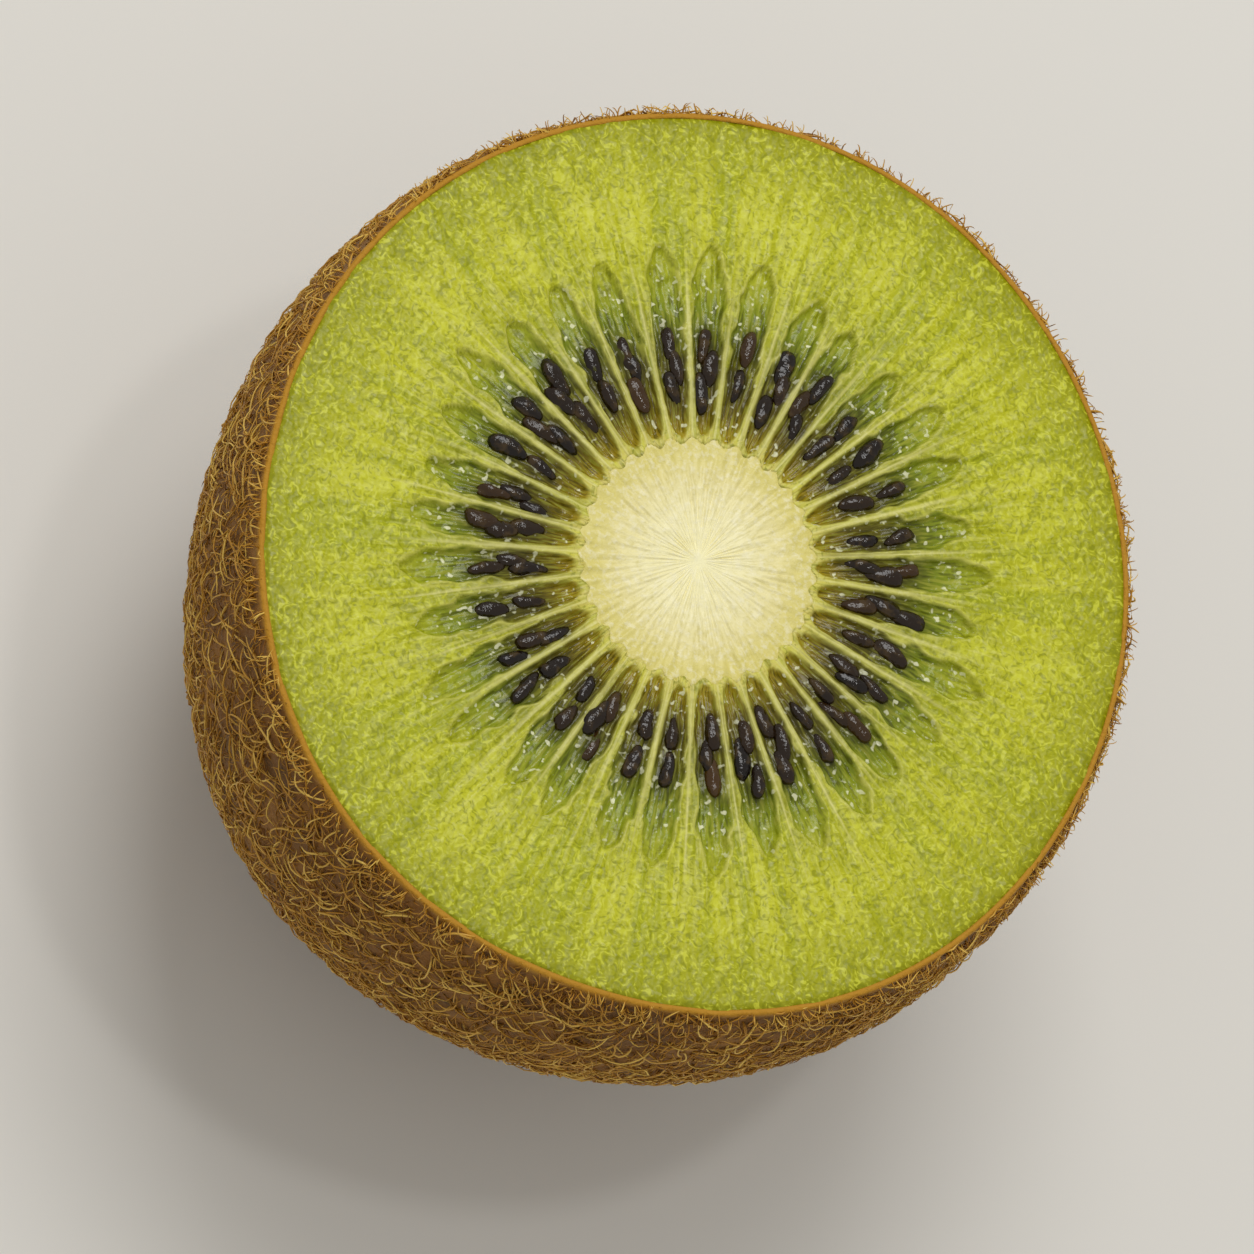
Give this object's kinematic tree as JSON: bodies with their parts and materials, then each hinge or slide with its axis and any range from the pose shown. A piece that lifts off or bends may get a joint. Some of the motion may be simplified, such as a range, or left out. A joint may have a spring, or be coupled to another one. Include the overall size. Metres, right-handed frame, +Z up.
{
  "type": "kiwi fruit half",
  "caption": "Half of a kiwi fruit, cut across, standing on its round end: fuzzy brown skin, green flesh with dark seeds round a pale core.",
  "frame": {"origin": "middle of the small flat spot that the half rests on, under the middle of its bounding box", "axes": "+Z up, out of the cut face, +Y along the cut face's longer width, +X along its shorter width"},
  "size_m": [0.0503, 0.0531, 0.0334],
  "materials": {
    "flesh": "moist",
    "core": "moist",
    "skin": "fuzzy",
    "seed": "wet"
  },
  "bodies": {
    "root": {"flesh": "flesh", "core": "core"}
  },
  "joints": []
}
